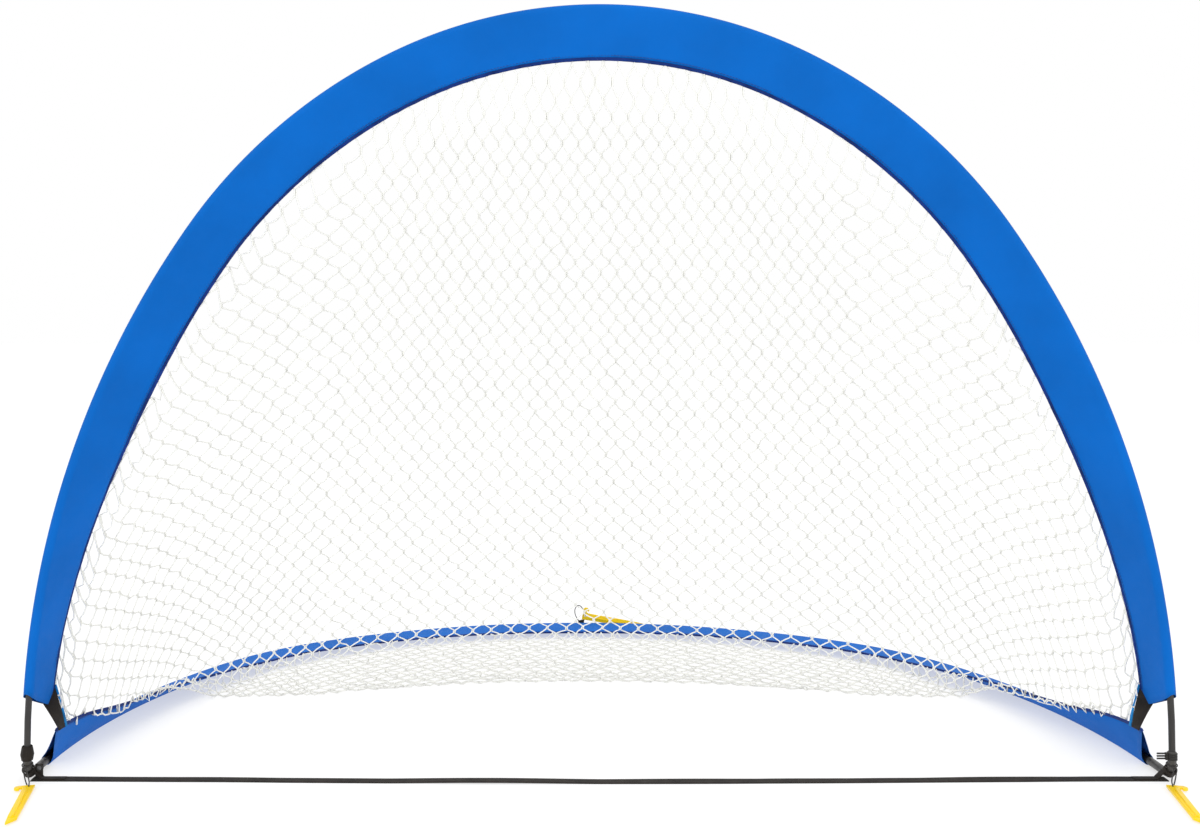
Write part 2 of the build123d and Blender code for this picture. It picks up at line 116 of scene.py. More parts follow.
# The net
CELL_WIDTH = 0.0330
HALF_CELL = 0.020
JOINT = 0.008
STRAND_RADIUS = 0.00150
STRAND_SIDES = 4
NET_ON_GROUND = 0.290  # how far it lies forward of the rear seam, at its middle
NET_LANDING = 0.20
NET_SAG = 0.035
CLEAR_ENDS = 0.20  # the share of the bow below which a section stays off the ground
LANDS_WITHIN = 2.2
TAUT_LIFT = 0.12
SAG_AT_ENDS = 0.15
GROUND_CURVE = 2.5
NET_TUCK = 0.0015
SEWN_EDGE = 0.009
YARN_WANDER = 0.0045
WANDER_RATE = 40
SETTLE_STEPS = 90
STEPS_PER_SECOND = 60
GRAVITY = 9.81
FALL_SHARE = 0.35
SPEED_KEPT = 0.9
PULL = 1.6

# The corners
GUSSET_WIDTH = 0.030
GUSSET_FIRST = 0.003
GUSSET_GAP = 0.002
GUSSET_REACH = 0.052
GUSSET_THICKNESS = 0.0014
TAPE_WIDTH = 0.006
TAPE_GAP = 0.001
TAPE_THICKNESS = 0.0022
HOSE_SIDES = 28
HOSE_END_TAPER = 0.0007
HOSE_TAPER_SHARE = 0.15
# Weights for the hose turning with the arch: 0 below this height and behind this place, rising to 1
# above; they are worked out but not applied to the hose
HOSE_FIXED_Z = 0.027
HOSE_TURNS_Z = FRONT_FOOT - 0.006
HOSE_FIXED_Y = 0.005
BAND_UV_STEP = 0.004
CREASE_ANGLE = 28

# The base strap
STRAP_BOW = -0.011
STRAP_LIFT = 0.003
STRAP_TWIST = 0.08

# The stage
WHITE = 1.0
FLOOR_REFLECTS = 0.45
FLOOR_HALF_SIZE = 60
# Name, place, what it points at, size in metres and power in watts
LIGHTS = (
    ("key", (-1.8, -5.5, 5.0), (0, 0.2, 0.5), 3.5, 130),
    ("fill", (4.5, -4.5, 4.0), (0, 0.3, 0.4), 4.0, 45),
    ("back", (1.0, 6.0, 5.0), (0, 0.3, 0.6), 4.0, 60),
)


# --- Camera ------------------------------------------------------------------------------------
def make_camera():
    data = bpy.data.cameras.new("camera")
    camera = bpy.data.objects.new("camera", data)
    bpy.context.scene.collection.objects.link(camera)
    camera.location = CAMERA_AT
    camera.rotation_euler = (math.radians(90), 0, 0)
    data.sensor_width = CAMERA_SENSOR
    data.lens = CAMERA_LENS
    data.shift_x, data.shift_y = CAMERA_SHIFT
    bpy.context.scene.camera = camera


# --- Materials ---------------------------------------------------------------------------------
def srgb(r, g, b):
    def linear(value):
        share = value / 255
        return share / 12.92 if share <= 0.04045 else ((share + 0.055) / 1.055) ** 2.4

    return (linear(r), linear(g), linear(b), 1)


class Shader:
    """A Principled material with a few short ways to add nodes."""

    def __init__(self, name, roughness, **numbers):
        self.material = bpy.data.materials.new(name)
        self.material.use_nodes = True
        self.tree = self.material.node_tree
        self.surface = self.tree.nodes["Principled BSDF"]
        self.surface.inputs["Roughness"].default_value = roughness
        for socket, value in numbers.items():
            self.surface.inputs[socket.replace("_", " ")].default_value = value

    def node(self, kind, **settings):
        made = self.tree.nodes.new(f"ShaderNode{kind}")
        for key, value in settings.items():
            if key in made.inputs:
                made.inputs[key].default_value = value
            else:
                setattr(made, key, value)
        return made

    def link(self, source, target):
        self.tree.links.new(source, target)

    def place(self, socket="Object", scale=(1, 1, 1), turn=0):
        mapping = self.node("Mapping")
        mapping.inputs["Scale"].default_value = scale
        mapping.inputs["Rotation"].default_value = (0, 0, math.radians(turn))
        self.link(self.node("TexCoord").outputs[socket], mapping.inputs["Vector"])
        return mapping.outputs["Vector"]

    def noise(self, scale, detail=3, place=None):
        made = self.node("TexNoise", Scale=scale, Detail=detail)
        self.link(place or self.place(), made.inputs["Vector"])
        return made.outputs["Fac"]

    def wave(self, place, scale, direction="X", distortion=0):
        made = self.node("TexWave", Scale=scale, Distortion=distortion)
        made.bands_direction = direction
        self.link(place, made.inputs["Vector"])
        return made.outputs["Fac"]

    def math(self, operation, a, b):
        made = self.node("Math", operation=operation)
        for socket, value in zip(made.inputs, (a, b)):
            if isinstance(value, (int, float)):
                socket.default_value = value
            else:
                self.link(value, socket)
        return made.outputs["Value"]

    def ramp(self, source, dark, light, low=0.3, high=0.7):
        made = self.node("ValToRGB")
        made.color_ramp.elements[0].position = low
        made.color_ramp.elements[1].position = high
        made.color_ramp.elements[0].color = dark
        made.color_ramp.elements[1].color = light
        self.link(source, made.inputs["Fac"])
        return made.outputs["Color"]

    def colour(self, source):
        self.link(source, self.surface.inputs["Base Color"])

    def roughness(self, source, low, high):
        made = self.node("MapRange")
        made.inputs["To Min"].default_value = low
        made.inputs["To Max"].default_value = high
        self.link(source, made.inputs["Value"])
        self.link(made.outputs["Result"], self.surface.inputs["Roughness"])

    def bump(self, height, distance, strength=1.0, under=None):
        made = self.node("Bump", Strength=strength, Distance=distance)
        self.link(height, made.inputs["Height"])
        if under:
            self.link(under, made.inputs["Normal"])
        self.link(made.outputs["Normal"], self.surface.inputs["Normal"])
        return made.outputs["Normal"]


def shade(colour, share):
    return tuple(c * share for c in colour[:3]) + (1,)


ONE_BAND = 0.314  # a wave texture of this scale over p has a band every p metres


def woven_cloth(name, colour, thread=0.0006, tone=0.09):
    """Plain-woven polyester: fine threads both ways, a soft sheen and faint cloudy tones."""
    shader = Shader(name, 0.75, Sheen_Weight=0.02, Sheen_Roughness=0.5, Specular_IOR_Level=0.1)
    cloud = shader.noise(7, 4)
    shader.colour(shader.ramp(cloud, shade(colour, 1 - tone), shade(colour, 1 + tone)))
    shader.roughness(shader.noise(60, 2), 0.6, 0.8)
    weave_at = shader.place("UV")
    warp = shader.wave(weave_at, ONE_BAND / thread, "X")
    weft = shader.wave(weave_at, ONE_BAND / thread, "Y")
    creases = shader.bump(shader.noise(22, 3), 0.0022, 0.35)
    shader.bump(shader.math("MAXIMUM", warp, weft), thread * 0.3, 0.5, creases)
    return shader.material


def webbing_cloth(name, colour, rib=0.0017):
    """Heavy woven tape: ribs across it and a slight herringbone between them."""
    shader = Shader(name, 0.85, Sheen_Weight=0.03, Specular_IOR_Level=0.25)
    shader.colour(shader.ramp(shader.noise(40, 4), shade(colour, 0.7), shade(colour, 1.5)))
    weave_at = shader.place("UV")
    ribs = shader.wave(weave_at, ONE_BAND / rib, "X")
    slant = shader.wave(shader.place("UV", turn=38), 0.5 / rib, "Y", 0.4)
    shader.bump(shader.math("MULTIPLY", ribs, slant), rib * 0.35, 0.8)
    return shader.material


def yarn_cloth(name, colour, pitch=0.0022):
    """Knitted or laid yarn: slanting loops along the strand."""
    shader = Shader(name, 0.7, Sheen_Weight=0.15)
    shader.colour(shader.ramp(shader.noise(18, 3), shade(colour, 0.93), colour))
    loops = shader.wave(shader.place("UV", turn=35), ONE_BAND / pitch, "X", 0.6)
    shader.bump(loops, 0.0004, 0.7)
    return shader.material


def moulded_plastic(name, colour, roughness=0.34):
    shader = Shader(name, roughness, Coat_Weight=0.05, Coat_Roughness=0.3, Specular_IOR_Level=0.35)
    shader.colour(shader.ramp(shader.noise(30, 3), shade(colour, 0.93), colour))
    shader.roughness(shader.noise(90, 4), roughness - 0.06, roughness + 0.12)
    shader.bump(shader.noise(900, 2), 0.00012, 0.5)
    return shader.material


def hose_rubber(name, colour):
    """Black hose, worn shiny, with fine lines along it and small cracks."""
    shader = Shader(name, 0.36, Specular_IOR_Level=0.6)
    shader.colour(shader.ramp(shader.noise(120, 5), shade(colour, 0.6), shade(colour, 2.4)))
    shader.roughness(shader.noise(70, 4), 0.26, 0.55)
    lines = shader.wave(shader.place("UV"), 420, "Y", 1.5)
    cracks = shader.noise(380, 5)
    shader.bump(shader.math("ADD", shader.math("MULTIPLY", lines, 0.4), cracks), 0.0005, 0.55)
    return shader.material


def rod_glass(name, colour):
    """Pultruded rod: satin black with faint streaks along it."""
    shader = Shader(name, 0.4)
    streaks = shader.noise(160, 3, shader.place(scale=(1, 0.15, 0.15)))
    shader.colour(shader.ramp(streaks, shade(colour, 0.7), shade(colour, 1.6)))
    shader.roughness(shader.noise(200, 2), 0.32, 0.5)
    shader.bump(streaks, 0.0002, 0.4)
    return shader.material


BLUE = woven_cloth("sleeve_cloth", srgb(0, 99, 189))
NAVY = webbing_cloth("piping_tape", srgb(6, 42, 112), 0.0012)
BLACK_WEB = webbing_cloth("black_webbing", srgb(38, 33, 29))
TAPE_BLUE = webbing_cloth("blue_tape", srgb(16, 120, 186), 0.001)
NET_WHITE = yarn_cloth("net_yarn", srgb(248, 248, 243))
THREAD = yarn_cloth("seam_thread", srgb(10, 58, 140), 0.001)
CORD_BLACK = yarn_cloth("cord_yarn", srgb(38, 35, 34), 0.0016)
PEG_YELLOW = moulded_plastic("peg_plastic", srgb(255, 214, 0))
FITTING_BLACK = moulded_plastic("black_plastic", srgb(32, 31, 30), 0.4)
HOSE_BLACK = hose_rubber("hose_rubber", srgb(46, 44, 42))
ROD_BLACK = rod_glass("rod_glass", srgb(36, 34, 33))


# --- Mesh helpers ------------------------------------------------------------------------------
def new_piece(name, points, faces, material, uv=None, smooth=True):
    mesh = bpy.data.meshes.new(name)
    mesh.from_pydata([tuple(p) for p in points], [], [tuple(f) for f in faces])
    mesh.update()
    mesh.materials.append(material)
    if uv is not None:
        layer = mesh.uv_layers.new(name="cloth")
        corners = np.zeros(len(mesh.loops), np.int32)
        mesh.loops.foreach_get("vertex_index", corners)
        layer.data.foreach_set("uv", np.asarray(uv, np.float32)[corners].ravel())
    mesh.polygons.foreach_set("use_smooth", [smooth] * len(mesh.polygons))
    piece = bpy.data.objects.new(name, mesh)
    bpy.context.scene.collection.objects.link(piece)
    return piece


def grid_faces(rows, columns, start=0, closed=False, flip=False):
    """Quads over a grid of rows x columns points, closed round the columns if asked."""
    faces = []
    for r in range(rows - 1):
        for c in range(columns if closed else columns - 1):
            d = (c + 1) % columns
            face = (
                start + r * columns + c,
                start + r * columns + d,
                start + (r + 1) * columns + d,
                start + (r + 1) * columns + c,
            )
            faces.append(face[::-1] if flip else face)
    return faces


def unit(vectors):
    return vectors / np.maximum(np.linalg.norm(vectors, axis=-1, keepdims=True), 1e-12)


def tube_grid(path, radius, sides):
    """Points of a tube round a path, with frames carried along it so that it doesn't twist."""
    path = np.asarray(path, float)
    along = unit(np.gradient(path, axis=0))
    side = np.cross(along[0], (0.31, 0.27, 0.91))
    sides_at = []
    for direction in along:
        side = side - direction * (side @ direction)
        side = side / np.linalg.norm(side)
        sides_at.append(side)
    x = np.array(sides_at)
    y = np.cross(along, x)
    turns = np.linspace(0, 2 * math.pi, sides, endpoint=False)
    radii = np.broadcast_to(np.asarray(radius, float), (len(path),))
    rings = radii[:, None, None] * (
        x[:, None] * np.cos(turns)[None, :, None] + y[:, None] * np.sin(turns)[None, :, None]
    )
    run = np.concatenate([[0], np.cumsum(np.linalg.norm(np.diff(path, axis=0), axis=1))])
    uv = np.stack(
        np.broadcast_arrays(run[:, None], (turns * radii.mean())[None, :]), axis=-1
    ).reshape(-1, 2)
    return (path[:, None] + rings).reshape(-1, 3), uv


def capped_tubes(paths, radius, sides):
    """Many closed tubes as one list of points, faces and uv."""
    points, faces, uvs, start = [], [], [], 0
    for path in paths:
        ring_points, uv = tube_grid(path, radius, sides)
        rows = len(path)
        faces += grid_faces(rows, sides, start, closed=True)
        faces.append(tuple(range(start + sides - 1, start - 1, -1)))
        last = start + (rows - 1) * sides
        faces.append(tuple(range(last, last + sides)))
        points.append(ring_points)
        uvs.append(uv)
        start += rows * sides
    return np.concatenate(points), faces, np.concatenate(uvs)


def follow_fold(piece):
    """Bake a piece's place into its points and work out each point's angle round the fold line, 0 on
    the ground; the piece is not bent by it.
    """
    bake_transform(piece)
    at = np.array([v.co for v in piece.data.vertices])
    angle = np.arctan2(at[:, 2] - HINGE_Z, at[:, 1] - HINGE_Y)
    angle[at[:, 2] <= HINGE_Z] = 0


# --- Hoops -------------------------------------------------------------------------------------
class Hoop:
    """A rod's centre line as tangent arcs. Headings run from 0 at the right foot to 180."""

    def __init__(self, origin, up, lift, rise, turns, crown, tilt, sleeve_end, cut):
        self.origin = np.array(origin)
        self.up = np.array(up, float)
        self.lift = np.array(lift, float)
        self.turns = turns
        self.crown = crown
        self.rise = rise
        lean = [1 - math.cos(math.radians(t)) for t in turns]
        climb = [math.sin(math.radians(t)) for t in turns]
        width_left = HALF_WIDTH - crown * (1 - lean[1])
        rise_left = rise - crown * (1 - climb[1])
        scale = lean[0] * (climb[1] - climb[0]) - (lean[1] - lean[0]) * climb[0]
        self.leg = (width_left * (climb[1] - climb[0]) - (lean[1] - lean[0]) * rise_left) / scale
        self.shoulder = (lean[0] * rise_left - width_left * climb[0]) / scale
        self.tilt = tilt
        self.start = math.degrees(math.asin(sleeve_end / self.leg))
        self.cut = cut
        self.inner_start = self.start + self.step(cut[-1][1])

    def point(self, heading):
        heading = np.asarray(heading, float)
        low = np.minimum(heading, 180 - heading)
        turn = np.radians(heading)
        bend = math.radians(self.turns[0])
        reach = self.leg - self.shoulder
        on_leg = low <= self.turns[0]
        on_crown = low >= self.turns[1]
        shoulder_x = HALF_WIDTH - self.leg + math.cos(bend) * reach
        centre_x = np.where(on_leg, HALF_WIDTH - self.leg, np.where(on_crown, 0, shoulder_x))
        centre_up = np.where(
            on_leg, 0, np.where(on_crown, self.rise - self.crown, math.sin(bend) * reach)
        )
        radius = np.where(on_leg, self.leg, np.where(on_crown, self.crown, self.shoulder))
        side = np.where(heading <= 90, 1, -1)
        across = side * centre_x + radius * np.cos(turn)
        rise = centre_up + radius * np.sin(turn)
        return self.origin + across[..., None] * np.array((1, 0, 0)) + rise[..., None] * self.up

    def tilt_at(self, heading):
        low = np.minimum(heading, 180 - heading)
        headings, tilts = zip(*self.tilt)
        spread = np.linspace(-TILT_SPREAD, TILT_SPREAD, 9)
        near = np.interp(low[..., None] + spread, headings, tilts)
        return np.radians(near.mean(axis=-1))

    def flap(self, heading):
        """The cloth's direction from the rod to its inner edge, and its normal."""
        heading = np.asarray(heading, float)
        turn = np.radians(heading)[..., None]
        tilt = self.tilt_at(heading)[..., None]
        inward = -np.cos(turn) * np.array((1, 0, 0)) - np.sin(turn) * self.up
        return (
            inward * np.cos(tilt) + self.lift * np.sin(tilt),
            self.lift * np.cos(tilt) - inward * np.sin(tilt),
        )

    def step(self, distance):
        return math.degrees(distance / self.leg)

    def edge(self, heading, reach):
        return self.point(heading) + self.flap(heading)[0] * reach


FRONT = Hoop(
    (0, ARCH_Y, FRONT_FOOT), (0, 0, 1), (0, 1, 0), ARCH_TOP - FRONT_FOOT,
    FRONT_TURNS, FRONT_CROWN_RADIUS, FRONT_TILT, FRONT_SLEEVE_END - FRONT_FOOT, FRONT_CUT,
)
REAR = Hoop(
    (0, REAR_FOOT, GROUND_ROD_Z), (0, 1, 0), (0, 0, 1), REAR_END - REAR_FOOT,
    REAR_TURNS, REAR_CROWN_RADIUS, REAR_TILT, REAR_SLEEVE_END - REAR_FOOT, REAR_CUT,
)
NET_EDGE = SLEEVE_REACH + PIPING_WIDTH - NET_TUCK


# --- Sleeves -----------------------------------------------------------------------------------
def sleeve_outline(round_radius, reach, edge, straight=14, bend=15):
    """The sleeve across: round the rod, then both faces straight to the seam at the inner edge."""
    meet = math.acos(round_radius / reach)
    turns = np.linspace(meet, 2 * math.pi - meet, bend)
    arc = np.stack([np.cos(turns), np.sin(turns)], axis=1) * round_radius
    share = np.linspace(0, 1, straight)[:-1, None]
    upper = np.array((reach, edge)) * (1 - share) + arc[0] * share
    lower = arc[-1] * (1 - share) + np.array((reach, -edge)) * share
    return np.concatenate([upper, arc, lower[1:], [(reach, -edge)]])


def wrinkle(run, x, seed):
    """Slack in the cloth: long soft waves, and short puckers near the seam."""
    long_wave = noise.noise(Vector((run * 5.5, x * 9, seed)))
    short_wave = noise.noise(Vector((run * 34, x * 12, seed + 7)))
    near_seam = max(0, (x - PUCKERS_FROM) / PUCKERS_OVER)
    return WAVE_DEPTH * long_wave + PUCKER_DEPTH * short_wave * near_seam**2


def make_sleeve(name, hoop, stations, seed, join):
    """A hollow cloth sleeve, with slack in it, its ends cut on a slant.

    join is where a cross seam goes, along the hoop. Below 0 it is off the sleeve, so there is none.
    """
    outline = sleeve_outline(SLEEVE_ROUND, SLEEVE_REACH, SLEEVE_EDGE)
    inside = sleeve_outline(SLEEVE_ROUND - CLOTH, SLEEVE_REACH - 2 * CLOTH, SLEEVE_EDGE - CLOTH)
    cut_at, cut_by = zip(*hoop.cut)
    count = len(outline)
    layers, uvs = [], []
    around = np.concatenate([[0], np.cumsum(np.linalg.norm(np.diff(outline, axis=0), axis=1))])
    for section in (outline, inside):
        cuts = np.interp(section[:, 0], cut_at, cut_by)
        first = hoop.start + np.array([hoop.step(c) for c in cuts])
        share = np.linspace(0, 1, stations)[:, None]
        heading = first + share * (180 - 2 * first)
        centre = hoop.point(heading)
        flap, normal = hoop.flap(heading)
        run = np.radians(heading) * hoop.leg
        offset = np.zeros_like(heading)
        for r in range(stations):
            for c in range(count):
                x = outline[c, 0]
                from_seam = (SLEEVE_REACH - x) / SLACK_FROM_SEAM + SLACK_AT_SEAM
                loose = min(1, max(0, x) / SLACK_FROM_ROD) * min(1, from_seam)
                offset[r, c] = loose * wrinkle(run[r, c], x, seed)
                seam = (run[r, c] - join - JOIN_SLANT * x) / JOIN_WIDTH
                offset[r, c] -= loose * JOIN_DEPTH * math.exp(-seam * seam)
        across = section[None, :, 1] + offset * np.sign(section[None, :, 1] + 1e-9)
        points = centre + flap * section[None, :, :1] + normal * across[..., None]
        layers.append(points.reshape(-1, 3))
        uvs.append(np.stack(np.broadcast_arrays(run, around[None, :]), axis=-1).reshape(-1, 2))
    size = stations * count
    faces = grid_faces(stations, count, 0, closed=True)
    faces += grid_faces(stations, count, size, closed=True, flip=True)
    for row, flip in ((0, True), (stations - 1, False)):
        for c in range(count):
            d = (c + 1) % count
            outer, inner = row * count, size + row * count
            face = (outer + c, outer + d, inner + d, inner + c)
            faces.append(face if flip else face[::-1])
    piece = new_piece(name, np.concatenate(layers), faces, BLUE, np.concatenate(uvs))
    rod_line = hoop.point(np.linspace(hoop.start, 180 - hoop.start, 200))
    return piece, float(np.linalg.norm(np.diff(rod_line, axis=0), axis=1).sum())


def make_piping(name, hoop, stations):
    """The folded tape that binds the sleeve's inner edge and the net's edge."""
    half, near = PIPING_THICKNESS / 2, SLEEVE_REACH - PIPING_OVERLAP
    far = near + PIPING_WIDTH
    corner = PIPING_CORNER
    outline = np.array([
        (near, half), (near, -half), (far - corner, -half), (far, -half + corner),
        (far, half - corner), (far - corner, half),
    ])
    heading = np.linspace(hoop.inner_start, 180 - hoop.inner_start, stations)
    centre = hoop.point(heading)[:, None]
    flap, normal = (v[:, None] for v in hoop.flap(heading))
    waver = np.array([noise.noise(Vector((h * 0.9, 3, 1))) for h in heading]) * PIPING_WAVER
    across = outline[None, :, :1] + waver[:, None, None]
    points = centre + flap * across + normal * outline[None, :, 1:]
    count = len(outline)
    faces = grid_faces(stations, count, 0, closed=True, flip=True)
    faces.append(tuple(range(count)))
    faces.append(tuple(range(stations * count - 1, (stations - 1) * count - 1, -1)))
    run = np.radians(heading)[:, None] * hoop.leg
    uv = np.stack(np.broadcast_arrays(run, np.linspace(0, 0.014, count)[None, :]), axis=-1)
    return new_piece(name, points.reshape(-1, 3), faces, NAVY, uv.reshape(-1, 2), smooth=False)


def make_seam(name, hoop, reach, pitch=0.0052, stitch=0.0038, thread=0.00042):
    """Stitches along the sleeve, a short way in from its inner edge, on both faces."""
    margin = 0.15
    heading = np.linspace(hoop.inner_start + margin, 180 - margin - hoop.inner_start, 4000)
    line = hoop.edge(heading, reach)
    run = np.concatenate([[0], np.cumsum(np.linalg.norm(np.diff(line, axis=0), axis=1))])
    paths = []
    sunk = np.array((-0.0004, 0.0001, 0.0002, 0.0001, -0.0004))
    slope = (SLEEVE_ROUND - SLEEVE_EDGE) / SLEEVE_REACH
    lift_off = SLEEVE_EDGE + (SLEEVE_REACH - reach) * slope
    for begin in np.arange(0.002, run[-1] - pitch, pitch):
        at = np.interp(np.linspace(begin, begin + stitch, 5), run, heading)
        centre = hoop.edge(at, reach)
        normal = hoop.flap(at)[1]
        for side in (1, -1):
            paths.append(centre + normal * (side * (lift_off + sunk))[:, None])
    points, faces, uv = capped_tubes(paths, thread, 4)
    return new_piece(name, points, faces, THREAD, uv)


# --- Net ---------------------------------------------------------------------------------------
class NetSurface:
    """The net's rough surface, as sections from the arch's seam to the rear seam."""

    def __init__(self, sections=161, samples=97):
        skip = GUSSET_WIDTH + TAPE_WIDTH + TAPE_GAP
        front_first = FRONT.inner_start + FRONT.step(skip)
        rear_first = REAR.inner_start + REAR.step(skip)
        rows = []
        for share in np.linspace(0, 1, sections):
            lying = max(0.0, (math.sin(math.pi * share) - CLEAR_ENDS) / (1 - CLEAR_ENDS))
            settled = min(1.0, LANDS_WITHIN * lying)
            settled = settled * settled * (3 - 2 * settled)
            front = FRONT.edge(front_first + (180 - 2 * front_first) * share, NET_EDGE)
            rear = REAR.edge(rear_first + (180 - 2 * rear_first) * share, NET_EDGE)
            taut = rear + (front - rear) * TAUT_LIFT
            on_ground = np.array((rear[0], rear[1] - NET_ON_GROUND * lying, STRAND_RADIUS))
            low = taut + (on_ground - taut) * settled
            drop = np.array((0, NET_SAG, NET_SAG)) * (SAG_AT_ENDS + lying)
            free = (front + low) / 2 - drop
            landing = low - np.array((0, NET_LANDING * lying, 0))
            guide = free + (landing - free) * settled
            t = np.linspace(0, 1, 60)[:, None]
            wall = front * (1 - t) ** 2 + guide * 2 * t * (1 - t) + low * t**2
            floor = low + (rear - low) * t
            climb = t[:, 0] ** (1 + GROUND_CURVE * settled)
            floor[:, 2] = low[2] + (rear[2] - low[2]) * climb
            path = np.concatenate([wall, floor[1:]])
            run = np.concatenate([[0], np.cumsum(np.linalg.norm(np.diff(path, axis=0), axis=1))])
            even = np.linspace(0, run[-1], samples)
            rows.append(np.stack([np.interp(even, run, path[:, k]) for k in range(3)], axis=1))
        self.grid = np.array(rows)
        self.width = np.linalg.norm(np.diff(self.grid, axis=1), axis=2).sum(axis=1)
        middle = self.grid[:, samples // 2]
        self.u = np.concatenate([[0], np.cumsum(np.linalg.norm(np.diff(middle, axis=0), axis=1))])
        self.length = self.u[-1]
        self.samples = samples

    def width_at(self, u):
        return np.interp(u, self.u, self.width)

    def inside(self, u, v, edge=0.0):
        return edge <= u <= self.length - edge and abs(v) <= self.width_at(u) / 2 - edge

    def place(self, u, v):
        u, v = np.asarray(u, float), np.asarray(v, float)
        row = np.interp(u, self.u, np.arange(len(self.u)))
        column = np.clip(v / self.width_at(u) + 0.5, 0, 1) * (self.samples - 1)
        r = np.minimum(row.astype(int), len(self.u) - 2)
        c = np.minimum(column.astype(int), self.samples - 2)
        fr, fc = (row - r)[..., None], (column - c)[..., None]
        near = self.grid[r, c] * (1 - fc) + self.grid[r, c + 1] * fc
        far = self.grid[r + 1, c] * (1 - fc) + self.grid[r + 1, c + 1] * fc
        return near * (1 - fr) + far * fr


def knit_strands(surface):
    """The net in the flat: zigzag strands that run side by side for a short way at each joint.

    Returns each flat point once, which of them are sewn down, and for each strand its runs of
    (point, side), where side says on which side of a joint the strand passes.
    """
    index, flat, sewn, runs = {}, [], [], []

    def put(key, u, v):
        if key not in index:
            index[key] = len(flat)
            flat.append((u, v))
            sewn.append(not surface.inside(u, v, SEWN_EDGE))
        return index[key]

    def rim_point(a, b):
        for _ in range(24):
            middle = ((a[0] + b[0]) / 2, (a[1] + b[1]) / 2)
            if surface.inside(*middle):
                a = middle
            else:
                b = middle
        return a

    line_step = CELL_WIDTH / 2
    lines = int(surface.length / line_step) + 2
    reach = int(surface.width.max() / 2 / HALF_CELL) + 2
    offset = (surface.length - (lines - 2) * line_step) / 2 - line_step / 2
    for k in range(-1, lines):
        stops = []
        for m in range(-reach, reach + 1):
            line = k + (m + k) % 2
            side = 1 if line == k else -1
            u = offset + line * line_step
            v = m * HALF_CELL
            if stops:
                last_u, last_v = stops[-1][1:3]
                v_next = v - JOINT / 2
                stops.append((("slant", k, m, 0), (last_u + u) / 2, (last_v + v_next) / 2, 0))
            stops.append((("joint", line, m, 0), u, v - JOINT / 2, side))
            stops.append((("joint", line, m, 1), u, v + JOINT / 2, side))
        run = []
        for a, b in zip(stops, stops[1:]):
            a_in, b_in = surface.inside(a[1], a[2]), surface.inside(b[1], b[2])
            if a_in:
                run.append((put(a[0], a[1], a[2]), a[3]))
            if a_in != b_in:
                u, v = rim_point(a[1:3], b[1:3]) if a_in else rim_point(b[1:3], a[1:3])
                run.append((put(("rim", k, a[0]), u, v), 0))
            if a_in and not b_in:
                runs.append(run)
                run = []
        if len(run) > 1:
            runs.append(run)
    return np.array(flat), np.array(sewn), [r for r in runs if len(r) > 1]


def settle(points, sewn, pairs, steps, passes=8, slack=1.012, most=0.028):
    """Let the net hang: gravity, the floor, and strands that don't stretch.

    No point goes further than most from where it began.
    """
    begin = points.copy()
    rest = np.linalg.norm(points[pairs[:, 0]] - points[pairs[:, 1]], axis=1) * slack
    counts = np.bincount(pairs.ravel(), minlength=len(points)).astype(float)
    free = ~sewn
    before = points.copy()
    fall = np.array((0, 0, -GRAVITY / STEPS_PER_SECOND**2 * FALL_SHARE))
    for _ in range(steps):
        moved = points + (points - before) * SPEED_KEPT + fall
        before = points.copy()
        points[free] = moved[free]
        for _ in range(passes):
            gap = points[pairs[:, 1]] - points[pairs[:, 0]]
            long = np.linalg.norm(gap, axis=1)
            push = gap * ((long - rest) / np.maximum(long, 1e-9) * 0.5)[:, None]
            total = np.stack(
                [
                    np.bincount(pairs[:, 0], push[:, k], len(points))
                    - np.bincount(pairs[:, 1], push[:, k], len(points))
                    for k in range(3)
                ],
                axis=1,
            )
            points[free] += (total / np.maximum(counts, 1)[:, None] * PULL)[free]
        away = points - begin
        far = np.linalg.norm(away, axis=1)
        points = begin + away * np.minimum(1, most / np.maximum(far, 1e-9))[:, None]
        points[free, 2] = np.maximum(points[free, 2], STRAND_RADIUS)
    return points


def make_net():
    surface = NetSurface()
    flat, sewn, runs = knit_strands(surface)
    points = surface.place(flat[:, 0], flat[:, 1])
    jitter = np.array([
        [noise.noise(Vector((u * WANDER_RATE, v * WANDER_RATE, layer))) for layer in (2, 9)]
        for u, v in flat
    ])
    loosened = flat + jitter * YARN_WANDER
    points[~sewn] = surface.place(loosened[~sewn, 0], loosened[~sewn, 1])
    pairs = {tuple(sorted((a[0], b[0]))) for run in runs for a, b in zip(run, run[1:])}
    pairs = np.array(sorted(pairs))
    points = settle(points, sewn, pairs, steps=SETTLE_STEPS)
    nudge = 0.002
    ahead = surface.place(flat[:, 0] + nudge, flat[:, 1])
    behind = surface.place(flat[:, 0] - nudge, flat[:, 1])
    across = unit(ahead - behind)
    paths = []
    for run in runs:
        ids = np.array([i for i, _ in run])
        side = np.array([s for _, s in run], float)
        path = points[ids] + across[ids] * (side * STRAND_RADIUS * 0.92)[:, None]
        paths.append(path)
    mesh_points, faces, uv = capped_tubes(paths, STRAND_RADIUS, STRAND_SIDES)
    piece = new_piece("net_mesh", mesh_points, faces, NET_WHITE, uv)
    return piece, surface


